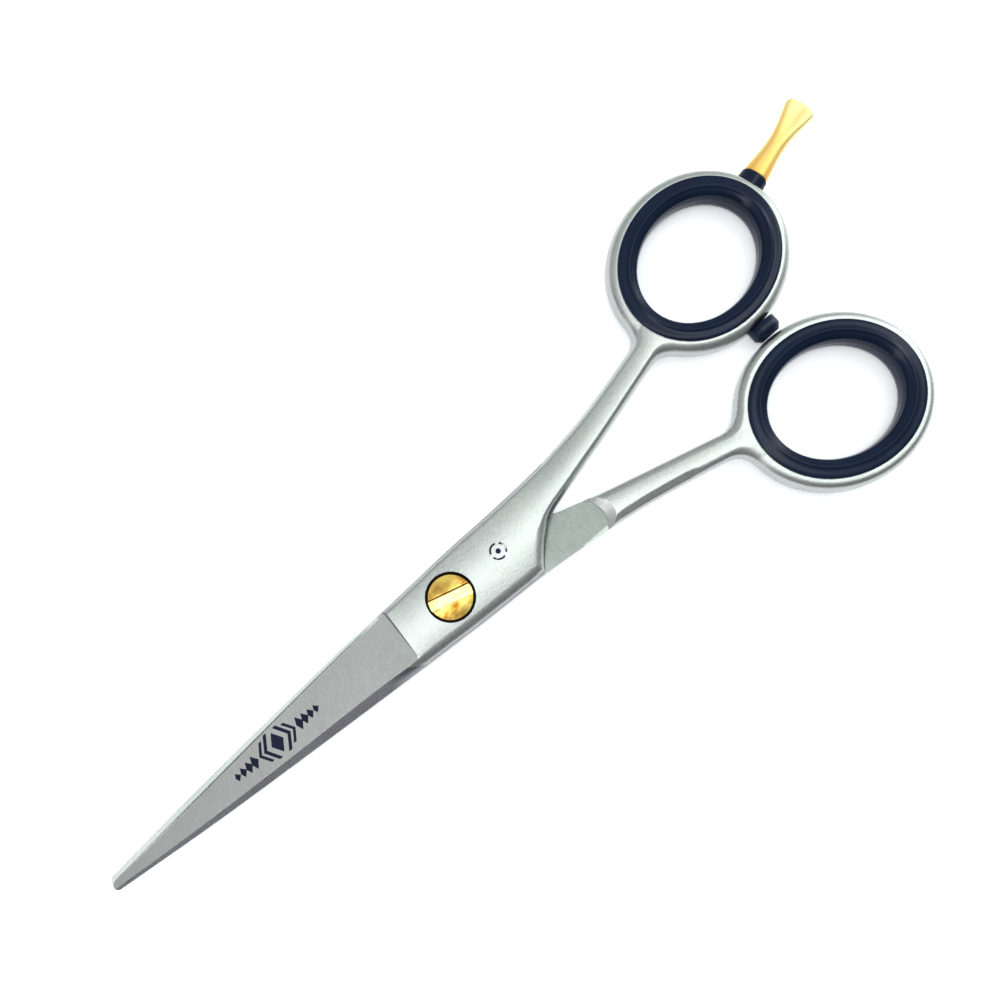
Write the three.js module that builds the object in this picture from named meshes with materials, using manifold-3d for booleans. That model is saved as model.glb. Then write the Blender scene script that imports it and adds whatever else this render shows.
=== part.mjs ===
// Five inch hair cutting shears, closed, with their stop bumper touching.
//
// Two forged halves cross at a slotted tension screw. Each half is one piece: a hollow-ground blade,
// a thicker body round the screw, a shank and a finger ring. The finger half lies on top at the screw
// and carries the bumper and the screwed-on finger rest. Both rings hold a snap-in plastic insert.
//
// Millimetres. The origin is on the screw's axis, in the plane that the shears lie on.
// +X points to the blade tips, +Y to the thumb ring's side and +Z up.
import * as THREE from "three";
import { mergeVertices } from "three/addons/utils/BufferGeometryUtils.js";
import Module from "manifold-3d";

const wasm = await Module();
wasm.setup();

// ---------------------------------------------------------------- driving dimensions

const MID = 2.5; // height of the plane in which the two halves slide on each other
const RIDE_GAP = 0.05; // each half keeps this far from that plane
const BODY_TOP = 2.5; // top of a half's body above the mid-plane, level with the screw's tail
const FIT_GAP = 0.06; // clearance between a piece and the seat that holds it

// Lines of one half seen from its outer face, as [x, y] from the rings to the tip.
const SPINE = along([-12, 5.72], [-6, 5.5], [0, 5.24], [20, 3.94], [40, 2.45], [54.9, 0.98]);
const EDGE = along([-12, -5.4], [-5, -5.2], [0, -4.95], [20, -3.64], [40, -1.92], [54.9, -0.5]);
const RIDGE = along([8, 3.62], [14, 3.05], [30, 2.3], [42, 1.62], [54.9, 0.6]);
const RIDGE_HEIGHT = along([8, 2.25], [20, 1.95], [40, 1.3], [54.9, 0.66]);
// How far a shank reaches past the mid-plane on its inner face, rising from the relief to the ring.
const SHANK_UNDER = along([-46, 1.9], [-40, 1.75], [-34, 1.4], [-28, 1.0], [-25, 0.7], [-22, 0.35]);
const SHANK_HEIGHT = along([-46, 1.9], [-32, 2.05], [-18, 2.42], [-10, BODY_TOP]);
const HANDLE_HEIGHT = (x) => Math.min(BODY_TOP, SHANK_HEIGHT(x));
const EDGE_FACE = 0.42; // blade thickness above the edge bevel, as a share of the ridge height
const EDGE_BEVEL = 0.35; // plan width of the bevel that forms the cutting edge
const GROUND_FROM = 8; // the blade is ground flat forward of this x
const HEEL_X = -12; // the body's rear corner on the spine side
const TIP_X = 55.4;
const CUT = { x: TIP_X + 5, y: 20, depth: 6 }; // reach of the cut that leaves the ride plane
const CROWN = 0.06; // fall of a top face from its middle to its sides, as a share of its half width

// Each shank runs from the body to its ring; the thumb half is described turned over.
const FINGER = {
  ring: [-57.45, -13.66],
  ringWidth: 2.15,
  inner: along([-46, -7.7], [-40, -6.0], [-30, -3.15], [-25, -1.85], [-20, -0.5], [-18, 0.1]),
  outer: along([-46, -11.6], [-40, -9.85], [-30, -7.42], [-25, -6.55], [-20, -5.9], [-12, -5.4]),
};
const THUMB = {
  ring: [-58.25, -13.68],
  ringWidth: 2.2,
  inner: along([-46, -7.9], [-40, -6.25], [-30, -3.65], [-25, -2.3], [-20, -0.8], [-18, -0.2]),
  outer: along([-46, -11.6], [-40, -10.05], [-30, -7.9], [-25, -7.1], [-20, -6.5], [-12, -5.75]),
};

const RING = { a: 12.32, b: 10.2, tilt: 12.7, half: 1.9, steps: 44 }; // bore semi-axes, tilt, half height
// Radial sizes of an insert, from the ring's bore, and its half height.
const INSERT = { flange: 0.7, crest: 0.58, lip: 2.05, throat: 2.3, half: 2.5 };
const POCKET = { x: -19.4, y: -4.1, r: 4 }; // round end of the relief that the other half rides in

// The screw's radii, then its heights above the mid-plane and its slot.
const SCREW = {
  head: 3.1,
  shoulder: 1.75,
  thread: 1.5,
  headBase: 1.42,
  rim: 2.15,
  crown: 2.46,
  slot: 1.55,
  slotFloor: 1.8,
};
const WASHER = { outer: 3.32, rim: 3.15, base: 0.3, top: 2.38 };
const COUNTERBORE = { r: 3.36, floor: 1.1, bore: 1.85 };
const TAPPED_R = 1.56;
const SLOT_ANGLE = -15; // where the slot stands, in degrees from +X

const BUMPER = { x: -58.05, r: 2.2, from: -1.22, to: 1.02, stem: 0.85, stemLength: 1.2, chamfer: 0.7 };
const REST = { angle: 15.8, length: 13.7, collar: 1.55, stud: 1.0, studLength: 1.2 };

// ---------------------------------------------------------------- helpers

// A smooth line through points of rising x, as a function of x; it goes on straight past its ends.
function along(...points) {
  const slope = (i, j) => (points[j][1] - points[i][1]) / (points[j][0] - points[i][0]);
  const last = points.length - 1;
  const tangents = points.map((_, i) => slope(Math.max(i - 1, 0), Math.min(i + 1, last)));
  return (x) => {
    if (x <= points[0][0]) return points[0][1] + (x - points[0][0]) * tangents[0];
    if (x >= points[last][0]) return points[last][1] + (x - points[last][0]) * tangents[last];
    const i = points.findIndex((p) => p[0] > x) - 1;
    const h = points[i + 1][0] - points[i][0];
    const t = (x - points[i][0]) / h;
    const s = 1 - t;
    return (
      points[i][1] * s * s * (1 + 2 * t) +
      points[i + 1][1] * t * t * (3 - 2 * t) +
      tangents[i] * h * t * s * s -
      tangents[i + 1] * h * t * t * s
    );
  };
}

function solid(geometry) {
  const bare = geometry.clone();
  bare.deleteAttribute("normal");
  bare.deleteAttribute("uv");
  const merged = mergeVertices(bare, 1e-4);
  return new wasm.Manifold(
    new wasm.Mesh({
      numProp: 3,
      vertProperties: merged.attributes.position.array,
      triVerts: new Uint32Array(merged.index.array),
    }),
  );
}

function geometryOf(made) {
  const mesh = made.getMesh();
  const geometry = new THREE.BufferGeometry();
  geometry.setAttribute("position", new THREE.BufferAttribute(mesh.vertProperties, 3));
  geometry.setIndex(new THREE.BufferAttribute(mesh.triVerts, 1));
  const shaded = geometry.toNonIndexed();
  shaded.computeVertexNormals();
  return shaded;
}

// A closed skin over rows of points, each row a loop. Rows that don't close on themselves get capped ends.
function skin(rows, closed = false) {
  const n = rows[0].length;
  const positions = rows.flat(2);
  const faces = [];
  const at = (i, k) => (i % rows.length) * n + (k % n);
  const bands = closed ? rows.length : rows.length - 1;
  for (let i = 0; i < bands; i++)
    for (let k = 0; k < n; k++) {
      faces.push(at(i, k), at(i, k + 1), at(i + 1, k + 1));
      faces.push(at(i, k), at(i + 1, k + 1), at(i + 1, k));
    }
  if (!closed)
    for (const i of [0, rows.length - 1]) {
      const centre = positions.length / 3;
      for (const axis of [0, 1, 2]) positions.push(rows[i].reduce((sum, p) => sum + p[axis], 0) / n);
      for (let k = 0; k < n; k++)
        if (i === 0) faces.push(centre, at(i, k + 1), at(i, k));
        else faces.push(centre, at(i, k), at(i, k + 1));
    }
  const geometry = new THREE.BufferGeometry();
  geometry.setAttribute("position", new THREE.BufferAttribute(new Float32Array(positions), 3));
  geometry.setIndex(faces);
  return geometry;
}

// A turned shape about +Z: the profile is [radius, z] from the axis at the bottom to the axis at the top.
function turned(profile, segments = 40) {
  const points = profile.map(([r, z]) => new THREE.Vector2(r, z));
  return new THREE.LatheGeometry(points, segments).rotateX(Math.PI / 2);
}

function cylinder(r, from, to, segments = 40) {
  return turned([[0, from], [r, from], [r, to], [0, to]], segments);
}

// A point of the ring's bore ellipse, moved outwards by offset, in the half's own plane.
function onRing(centre, angle, offset) {
  const tilt = THREE.MathUtils.degToRad(RING.tilt);
  const c = Math.cos(angle);
  const s = Math.sin(angle);
  const normal = Math.hypot(RING.b * c, RING.a * s);
  const u = RING.a * c + (offset * RING.b * c) / normal;
  const v = RING.b * s + (offset * RING.a * s) / normal;
  const x = centre[0] + u * Math.cos(tilt) - v * Math.sin(tilt);
  const y = centre[1] + u * Math.sin(tilt) + v * Math.cos(tilt);
  return [x, y];
}

// A closed profile of [offset, height] swept round the ring's ellipse.
function swept(centre, profile) {
  const rows = [];
  for (let i = 0; i < RING.steps; i++) {
    const angle = (-2 * Math.PI * i) / RING.steps;
    rows.push(profile.map(([offset, height]) => [...onRing(centre, angle, offset), height]));
  }
  return skin(rows, true);
}

// ---------------------------------------------------------------- sections of a half

// A section's points are [y, height above the mid-plane]; left is the +Y side and right the -Y side.

const BELOW = -0.6; // sections reach below the mid-plane, and the ride cut trims them

function bladeSection(x, scale = 1) {
  const spine = SPINE(x);
  const edge = EDGE(x);
  const ridge = RIDGE(x);
  const top = RIDGE_HEIGHT(x) * scale;
  const face = (share) => [
    ridge + (edge + EDGE_BEVEL - ridge) * share,
    top + (EDGE_FACE * top - top) * share,
  ];
  const middle = (spine + edge) / 2;
  return [
    face(0),
    [spine, top - (spine - ridge) * 0.9],
    [spine, RIDE_GAP + 0.1],
    [spine, BELOW],
    [middle, BELOW],
    [edge, BELOW],
    [edge, RIDE_GAP + 0.04],
    face(1),
    face(0.66),
    face(0.33),
  ].map(([y, z]) => [middle + (y - middle) * scale, z]);
}

// The body's top is crowned, with wide facets along its rims; its underside is cut flat later.
function bodySection(left, right, top, bottom) {
  const middle = (left + right) / 2;
  const fall = (CROWN * (left - right)) / 2;
  return [
    [left - 1.6, top - fall * 0.5],
    [left - 0.5, top - fall - 0.4],
    [left, top - 1.4],
    [left, bottom],
    [middle, bottom],
    [right, bottom],
    [right, top - 1.3],
    [right + 0.35, top - fall - 0.3],
    [right + 1.2, top - fall * 0.6],
    [middle, top],
  ];
}

// A shank is a bar with its four corners taken off.
function shankSection(left, right, top, under) {
  const middle = (left + right) / 2;
  return [
    [left - 1.0, top],
    [left - 0.05, top - 0.9],
    [left - 0.05, 0.9 - under],
    [left - 1.0, -under],
    [middle, -under],
    [right + 1.15, -under],
    [right + 0.05, 1.1 - under],
    [right + 0.05, top - 0.9],
    [right + 1.0, top],
    [middle, top],
  ];
}

function bladeRows() {
  const tip = bladeSection(TIP_X, 0.66).map(([y, z]) => [TIP_X, y, z]);
  const stations = [TIP_X - 0.4, 50, 42, 34, 26, 18, 12, GROUND_FROM + 0.1];
  return [tip, ...stations.map((x) => bladeSection(x).map(([y, z]) => [x, y, z]))];
}

function bodyRows(half) {
  const heel = along([-18.4, half.inner(-18.4)], [-16.6, 1.1], [-15, 2.6], [HEEL_X, SPINE(HEEL_X)]);
  const left = (x) => (x > HEEL_X ? SPINE(x) : heel(x));
  const right = (x) => (x > HEEL_X ? Math.max(EDGE(x), half.outer(HEEL_X)) : half.outer(x));
  const stations = [GROUND_FROM - 0.1, 4, 0, -4, -8, HEEL_X, -13.5, -15, -16.6, -18.4];
  return stations.map((x) =>
    bodySection(left(x), right(x), HANDLE_HEIGHT(x), BELOW).map(([y, z]) => [x, y, z]),
  );
}

function shankRows(half) {
  const stations = [-20.5, -24, -28, -32, -36, -40, -43, -46];
  return stations.map((x) =>
    shankSection(half.inner(x), half.outer(x), HANDLE_HEIGHT(x), SHANK_UNDER(x)).map(([y, z]) => [x, y, z]),
  );
}

// ---------------------------------------------------------------- the two forged halves

const RING_PROFILE = (width) => [
  [0, RING.half],
  [0, -RING.half],
  [1.05, -RING.half],
  [width - 0.3, 0.5 - RING.half],
  [width, 1.3 - RING.half],
  [width, RING.half - 1.3],
  [width - 0.3, RING.half - 0.5],
  [1.05, RING.half],
];

// Web that rounds the corners between shank and ring, in plan.
function web(half) {
  const [x, y] = half.ring;
  const fromCentre = (dx, dy) => [x + dx, y + dy];
  const shape = new THREE.Shape();
  shape.moveTo(x + 17.2, half.outer(x + 17.2) + 0.1);
  shape.quadraticCurveTo(...fromCentre(14.5, 2.7), ...fromCentre(14.35, 0.4));
  shape.lineTo(...fromCentre(12.5, 0.2));
  shape.lineTo(...fromCentre(9.6, 8.4));
  shape.lineTo(...fromCentre(10.5, 8.75));
  shape.quadraticCurveTo(x + 13.5, half.inner(x + 14.5) - 0.1, x + 16.3, half.inner(x + 16.3) - 0.1);
  const depth = 2 * RING.half - 1.2;
  const bevel = { bevelSize: 0.25, bevelThickness: 0.55, bevelOffset: -0.25, bevelSegments: 1 };
  return new THREE.ExtrudeGeometry(shape, { depth, curveSegments: 5, ...bevel }).translate(0, 0, -depth / 2);
}

// Everything under the ride plane, from the tip back to the relief's round end.
function rideCut() {
  const shape = new THREE.Shape();
  shape.moveTo(CUT.x, -CUT.y);
  shape.lineTo(CUT.x, CUT.y);
  shape.lineTo(POCKET.x, CUT.y);
  shape.lineTo(POCKET.x, POCKET.y + POCKET.r);
  shape.absarc(POCKET.x, POCKET.y, POCKET.r, Math.PI / 2, (3 * Math.PI) / 2, false);
  shape.lineTo(POCKET.x, -CUT.y);
  const sides = { depth: CUT.depth, bevelEnabled: false, curveSegments: 10 };
  return new THREE.ExtrudeGeometry(shape, sides).translate(0, 0, RIDE_GAP - CUT.depth);
}

function forgedHalf(half) {
  const boreProfile = turned([[0, -4], [1, -4], [1, 4], [0, 4]], RING.steps);
  const bore = boreProfile
    .scale(RING.a, RING.b, 1)
    .rotateZ(THREE.MathUtils.degToRad(RING.tilt))
    .translate(...half.ring, 0);
  return solid(skin([...bladeRows(), ...bodyRows(half), ...shankRows(half)]))
    .add(solid(swept(half.ring, RING_PROFILE(half.ringWidth))))
    .add(solid(web(half)))
    .subtract(solid(bore))
    .subtract(solid(rideCut()));
}

function fingerBlade() {
  const seat = turned([
    [0, -1],
    [COUNTERBORE.bore, -1],
    [COUNTERBORE.bore, COUNTERBORE.floor],
    [COUNTERBORE.r, COUNTERBORE.floor],
    [COUNTERBORE.r, 4],
    [0, 4],
  ]);
  const bumperHole = cylinder(BUMPER.stem + FIT_GAP, -0.1, 4, 16)
    .rotateX(Math.PI / 2)
    .translate(BUMPER.x, BUMPER.from - BUMPER.stemLength - 0.1 + 4, 0);
  const studHole = onRestAxis(cylinder(REST.stud + FIT_GAP, -REST.studLength - 0.1, 2, 16));
  return forgedHalf(FINGER).subtract(solid(seat)).subtract(solid(bumperHole)).subtract(solid(studHole));
}

function thumbBlade() {
  return forgedHalf(THUMB).subtract(solid(cylinder(TAPPED_R, -1, 4)));
}

// ---------------------------------------------------------------- pieces on the halves

const INSERT_PROFILE = [
  [INSERT.flange, RING.half + FIT_GAP],
  [INSERT.flange - 0.12, INSERT.half - 0.2],
  [-INSERT.crest, INSERT.half],
  [-INSERT.crest - 0.85, INSERT.half - 0.25],
  [-INSERT.lip, INSERT.half - 0.65],
  [-INSERT.throat, 1.1],
  [-INSERT.throat, -1.1],
  [-INSERT.lip, -INSERT.half + 0.65],
  [-INSERT.crest - 0.85, -INSERT.half + 0.25],
  [-INSERT.crest, -INSERT.half],
  [INSERT.flange - 0.12, -INSERT.half + 0.2],
  [INSERT.flange, -RING.half - FIT_GAP],
  [-FIT_GAP, -RING.half - FIT_GAP],
  [-FIT_GAP, RING.half + FIT_GAP],
];

function tensionScrew() {
  const body = turned([
    [0, -MID],
    [SCREW.thread - 0.2, -MID],
    [SCREW.thread, -MID + 0.2],
    [SCREW.thread, -RIDE_GAP],
    [SCREW.shoulder, -RIDE_GAP + 0.15],
    [SCREW.shoulder, SCREW.headBase],
    [SCREW.head, SCREW.headBase],
    [SCREW.head, SCREW.rim - 0.08],
    [SCREW.head - 0.12, SCREW.rim],
    [SCREW.head * 0.62, SCREW.crown - 0.12],
    [SCREW.head * 0.3, SCREW.crown - 0.03],
    [0, SCREW.crown],
  ]);
  const slot = new THREE.BoxGeometry(8, SCREW.slot, 2)
    .translate(0, 0, SCREW.slotFloor + 1)
    .rotateZ(THREE.MathUtils.degToRad(SLOT_ANGLE));
  return solid(body).subtract(solid(slot));
}

function headWasher() {
  const cup = cylinder(WASHER.outer, COUNTERBORE.floor + 0.01, WASHER.top);
  const room = turned([
    [0, 0],
    [COUNTERBORE.bore, 0],
    [COUNTERBORE.bore, COUNTERBORE.floor + WASHER.base],
    [WASHER.rim, COUNTERBORE.floor + WASHER.base],
    [WASHER.rim, 4],
    [0, 4],
  ]);
  return solid(cup).subtract(solid(room));
}

function bumper() {
  const { r, from, to, stem, stemLength, chamfer } = BUMPER;
  const profile = [
    [0, from - stemLength],
    [stem, from - stemLength],
    [stem, from],
    [r - 0.1, from],
    [r, from + 0.1],
    [r, to - chamfer],
    [r - chamfer, to],
    [0, to],
  ];
  const points = profile.map(([radius, y]) => new THREE.Vector2(radius, y));
  return new THREE.LatheGeometry(points, 28).translate(BUMPER.x, 0, 0);
}

// Places a shape made along +Z so that it points out of the finger ring's far end, from the metal's surface.
function onRestAxis(geometry) {
  const angle = THREE.MathUtils.degToRad(REST.angle);
  const reach = RING.a + FINGER.ringWidth - 0.02;
  return geometry
    .rotateY(-Math.PI / 2)
    .rotateZ(angle)
    .translate(FINGER.ring[0] - reach * Math.cos(angle), FINGER.ring[1] - reach * Math.sin(angle), 0);
}

// An oval row at height s: half the width lies in the shears' plane, half the depth across it.
function oval(s, width, depth, dish = 0, n = 20) {
  const row = [];
  for (let k = 0; k < n; k++) {
    const angle = (2 * Math.PI * k) / n;
    const across = Math.cos(angle);
    const dip = across > 0 ? dish * across * Math.pow(1 - Math.abs(Math.sin(angle)), 0.7) : 0;
    row.push([(depth / 2) * across - dip, (width / 2) * Math.sin(angle), s]);
  }
  return row.reverse();
}

function restCollar() {
  const rim = REST.collar;
  const block = skin([oval(rim, 3.75, 2.8), oval(rim - 0.15, 4.0, 3.0), oval(-0.9, 4.35, 3.3)]);
  const clear = RING_PROFILE(FINGER.ringWidth).map(([offset, height]) => [
    offset + (offset > 0.5 ? 0.08 : -0.5),
    height * 1.04,
  ]);
  return solid(onRestAxis(block))
    .subtract(solid(swept(FINGER.ring, clear)))
    .subtract(solid(onRestAxis(cylinder(REST.stud + FIT_GAP, -3, 3, 20))));
}

function fingerRest() {
  const foot = REST.collar + 0.05;
  // Distance from the foot, width, depth and the dish of the upper side.
  const rows = [
    [0, 3.5, 2.5, 0],
    [0.15, 3.7, 2.65, 0],
    [2.2, 3.25, 2.3, 0],
    [4.2, 2.8, 2.0, 0],
    [6.5, 2.7, 1.9, 0.1],
    [8.5, 3.05, 1.85, 0.3],
    [10.5, 3.8, 1.75, 0.5],
    [12.8, 4.6, 1.5, 0.5],
    [REST.length - 0.2, 4.3, 1.15, 0.35],
    [REST.length, 3.7, 0.7, 0.15],
  ].map(([s, width, depth, dish]) => oval(foot + s, width, depth, dish));
  const stud = cylinder(REST.stud, -REST.studLength, foot + 1, 20);
  return solid(onRestAxis(skin(rows.reverse()))).add(solid(onRestAxis(stud)));
}

// ---------------------------------------------------------------- materials and assembly

const satinSteel = new THREE.MeshStandardMaterial({ color: 0xb9bfbd, roughness: 0.42, metalness: 0.9 });
const gold = new THREE.MeshStandardMaterial({ color: 0xe3b94c, roughness: 0.22, metalness: 1 });
const navyPlastic = new THREE.MeshStandardMaterial({ color: 0x1d2740, roughness: 0.35, metalness: 0 });
const blackNylon = new THREE.MeshStandardMaterial({ color: 0x0d0d10, roughness: 0.6, metalness: 0 });

function mesh(name, shape, material) {
  const made = new THREE.Mesh(shape.isBufferGeometry ? shape : geometryOf(shape), material);
  made.name = name;
  return made;
}

const shears = new THREE.Group();
shears.position.z = MID;

const fingerHalf = new THREE.Group();
fingerHalf.add(
  mesh("finger_blade", fingerBlade(), satinSteel),
  mesh("finger_ring_insert", swept(FINGER.ring, INSERT_PROFILE), navyPlastic),
  mesh("head_washer", headWasher(), blackNylon),
  mesh("stop_bumper", bumper(), navyPlastic),
  mesh("finger_rest_collar", restCollar(), navyPlastic),
  mesh("finger_rest", fingerRest(), gold),
);

// The thumb half is the same kind of forging, turned over about the blade's length.
const thumbHalf = new THREE.Group();
thumbHalf.rotation.x = Math.PI;
thumbHalf.add(
  mesh("thumb_blade", thumbBlade(), satinSteel),
  mesh("thumb_ring_insert", swept(THUMB.ring, INSERT_PROFILE), navyPlastic),
);

shears.add(fingerHalf, thumbHalf, mesh("tension_screw", tensionScrew(), gold));

export default shears;
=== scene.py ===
"""Looks of the hair cutting shears: two forged halves, screw, washer, ring inserts, bumper and finger rest.

Each metal piece is carved from a formula, its field, which is negative inside the piece. The fields are in
millimetres; the finished meshes are in metres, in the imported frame.
"""
import math

import bpy
import numpy as np
from mathutils import Matrix, Vector


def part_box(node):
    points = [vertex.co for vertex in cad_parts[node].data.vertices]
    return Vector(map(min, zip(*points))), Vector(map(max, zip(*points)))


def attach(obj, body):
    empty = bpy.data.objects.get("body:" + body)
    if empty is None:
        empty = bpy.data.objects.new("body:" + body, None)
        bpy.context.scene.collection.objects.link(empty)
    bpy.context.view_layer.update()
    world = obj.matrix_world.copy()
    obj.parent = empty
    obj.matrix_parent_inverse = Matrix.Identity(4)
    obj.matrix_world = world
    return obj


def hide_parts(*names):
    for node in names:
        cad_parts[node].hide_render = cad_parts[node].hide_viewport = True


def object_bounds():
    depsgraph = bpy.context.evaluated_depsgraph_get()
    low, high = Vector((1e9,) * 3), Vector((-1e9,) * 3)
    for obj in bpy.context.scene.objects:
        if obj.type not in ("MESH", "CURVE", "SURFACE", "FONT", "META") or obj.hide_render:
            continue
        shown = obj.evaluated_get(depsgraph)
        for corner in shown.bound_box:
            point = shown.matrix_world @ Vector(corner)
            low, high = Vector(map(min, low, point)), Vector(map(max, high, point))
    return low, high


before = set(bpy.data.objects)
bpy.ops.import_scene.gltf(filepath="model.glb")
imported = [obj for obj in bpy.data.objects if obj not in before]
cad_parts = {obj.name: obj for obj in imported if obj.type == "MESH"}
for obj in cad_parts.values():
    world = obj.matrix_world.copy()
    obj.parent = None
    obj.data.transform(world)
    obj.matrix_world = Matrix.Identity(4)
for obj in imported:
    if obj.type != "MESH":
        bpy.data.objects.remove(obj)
cad_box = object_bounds()

MM = 0.001
TAU = 2 * math.pi


def box_mm(node):
    low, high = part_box(node)
    return np.array(low) / MM, np.array(high) / MM


# ---------------------------------------------------------------- curves

def along(*points):
    """A smooth line through (x, y) points of rising x, as a function of x, straight past its ends."""
    px, py = np.array(points, float).T
    tangent = np.empty(len(px))
    tangent[1:-1] = (py[2:] - py[:-2]) / (px[2:] - px[:-2])
    tangent[0] = (py[1] - py[0]) / (px[1] - px[0])
    tangent[-1] = (py[-1] - py[-2]) / (px[-1] - px[-2])

    def curve(x):
        held = np.clip(x, px[0], px[-1])
        i = np.clip(np.searchsorted(px, held, side="right") - 1, 0, len(px) - 2)
        h = px[i + 1] - px[i]
        t = (held - px[i]) / h
        s = 1 - t
        inside = py[i] * s * s * (1 + 2 * t) + py[i + 1] * t * t * (3 - 2 * t)
        inside = inside + tangent[i] * h * t * s * s - tangent[i + 1] * h * t * t * s
        return inside + (x - held) * np.where(x < px[0], tangent[0], tangent[-1])

    return curve


def side_distance(curve, x, y):
    """How far y is above a curve, measured square to it."""
    step = 0.05
    slope = (curve(x + step) - curve(x - step)) / (2 * step)
    return (y - curve(x)) / np.sqrt(1 + slope * slope)


def smoothstep(low, high, x):
    """From 0 at low to 1 at high, whichever of them is greater."""
    t = np.clip((x - low) / (high - low), 0, 1)
    return t * t * (3 - 2 * t)


def soft_min(a, b, reach):
    h = np.clip(0.5 + 0.5 * (b - a) / reach, 0, 1)
    return b + (a - b) * h - reach * h * (1 - h)


def soft_max(a, b, reach):
    return -soft_min(-a, -b, reach)


def rounded(plan, height, plan_round, height_round):
    """A slab with rounded rims, from the distances outside its outline and above its top."""
    a = plan / plan_round + 1
    b = height / height_round + 1
    corner = np.hypot(np.maximum(a, 0), np.maximum(b, 0))
    return (corner + np.minimum(np.maximum(a, b), 0) - 1) * np.minimum(plan_round, height_round)


def chamfer(plan, height, width, slope=0.85):
    """The sloping cut along a rim, from the distances outside its outline and above its top."""
    return (height + slope * (plan + width)) / math.hypot(1, slope)


# ---------------------------------------------------------------- carving a field into a mesh

HALVINGS = 7  # steps of the search for the place where the surface crosses a grid edge
SLOPE_REACH = 0.004
PULL = 0.04  # how strongly a vertex is held at the middle of its crossings
MARGIN = 0.4  # how far the grid goes past a piece


def carve(name, field, low, high, steps):
    """Dual contouring: a mesh of the surface where the field is zero, with its creases kept sharp."""
    low = np.array(low, float)
    steps = np.array(steps, float)
    counts = np.ceil((np.array(high, float) - low) / steps).astype(int) + 1
    axes = [low[i] + steps[i] * np.arange(counts[i]) for i in range(3)]
    values = field(axes[0][:, None, None], axes[1][None, :, None], axes[2][None, None, :])
    values = np.broadcast_to(values, counts)
    inside = values < 0
    cells = counts - 1
    points, normals, owners, flips = [], [], [], []
    for axis in range(3):
        first = [slice(None)] * 3
        second = [slice(None)] * 3
        first[axis] = slice(None, -1)
        second[axis] = slice(1, None)
        where = np.argwhere(inside[tuple(first)] != inside[tuple(second)])
        across = [a for a in range(3) if a != axis]
        keep = np.all((where[:, across] > 0) & (where[:, across] < counts[across] - 1), axis=1)
        where = where[keep]
        starts = low + where * steps
        begin = values[tuple(first)][tuple(where.T)]
        near, far = np.zeros(len(where)), np.ones(len(where))
        for _ in range(HALVINGS):
            t = (near + far) / 2
            p = starts.copy()
            p[:, axis] += t * steps[axis]
            same = (field(*p.T) < 0) == (begin < 0)
            near, far = np.where(same, t, near), np.where(same, far, t)
        p = starts.copy()
        p[:, axis] += (near + far) / 2 * steps[axis]
        gradient = np.stack([slope_of(field, p, a) for a in range(3)], axis=1)
        gradient /= np.maximum(np.linalg.norm(gradient, axis=1, keepdims=True), 1e-9)
        u, v = (axis + 1) % 3, (axis + 2) % 3
        ring = []
        for du, dv in ((-1, -1), (0, -1), (0, 0), (-1, 0)):
            cell = where.copy()
            cell[:, u] += du
            cell[:, v] += dv
            ring.append(np.ravel_multi_index(tuple(cell.T), cells))
        points.append(p)
        normals.append(gradient)
        owners.append(np.stack(ring, axis=1))
        flips.append(begin >= 0)
    points, normals = np.concatenate(points), np.concatenate(normals)
    owners, flips = np.concatenate(owners), np.concatenate(flips)
    used, corner = np.unique(owners, return_inverse=True)
    corner = corner.reshape(owners.shape)
    verts = best_points(points, normals, corner, used, cells, low, steps)
    faces = np.where(flips[:, None], corner[:, ::-1], corner)
    mesh = bpy.data.meshes.new(name)
    mesh.from_pydata(verts, [], faces.tolist())
    mesh.update()
    piece = bpy.data.objects.new(name, mesh)
    bpy.context.scene.collection.objects.link(piece)
    return piece


def slope_of(field, p, axis):
    ahead, behind = p.copy(), p.copy()
    ahead[:, axis] += SLOPE_REACH
    behind[:, axis] -= SLOPE_REACH
    return field(*ahead.T) - field(*behind.T)


def best_points(points, normals, corner, used, cells, low, steps):
    """Each cell's vertex is the point nearest to all the tangent planes that cross its edges."""
    n = len(used)
    owner = corner.ravel()
    p = np.repeat(points, 4, axis=0)
    m = np.repeat(normals, 4, axis=0)

    def total(values):
        return np.bincount(owner, weights=values, minlength=n)

    count = total(np.ones(len(owner)))
    middle = np.stack([total(p[:, i]) for i in range(3)], axis=1) / count[:, None]
    reach = np.einsum("ij,ij->i", m, p - middle[owner])
    a = np.empty((n, 3, 3))
    for i in range(3):
        for j in range(3):
            a[:, i, j] = total(m[:, i] * m[:, j])
    b = np.stack([total(m[:, i] * reach) for i in range(3)], axis=1)
    a += np.eye(3) * PULL
    move = np.linalg.solve(a, b[:, :, None])[:, :, 0]
    floor = low + np.stack(np.unravel_index(used, cells), axis=1) * steps
    return np.clip(middle + move, floor, floor + steps)


def place(piece, turned_over=False):
    """From a half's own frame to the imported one, the thumb half turned over, and never past the CAD's box."""
    flip = Matrix.Diagonal((1, -1, -1, 1)) if turned_over else Matrix.Identity(4)
    lift = Matrix.Translation((0, 0, MID * MM))
    piece.data.transform(lift @ flip @ Matrix.Scale(MM, 4))
    verts = np.zeros(len(piece.data.vertices) * 3)
    piece.data.vertices.foreach_get("co", verts)
    verts = np.clip(verts.reshape(-1, 3), cad_box[0], cad_box[1])
    piece.data.vertices.foreach_set("co", verts.ravel())
    piece.data.update()


def face_columns(mesh, attribute):
    """The X, Y and Z of every face's centre or normal."""
    values = np.zeros(len(mesh.polygons) * 3)
    mesh.polygons.foreach_get(attribute, values)
    return values.reshape(-1, 3).T


def paint(piece, materials, regions):
    """Add the materials to a piece, and give each face the one whose number its region is."""
    for material in materials:
        piece.data.materials.append(material)
    piece.data.polygons.foreach_set("material_index", regions.astype(np.int32))


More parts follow.
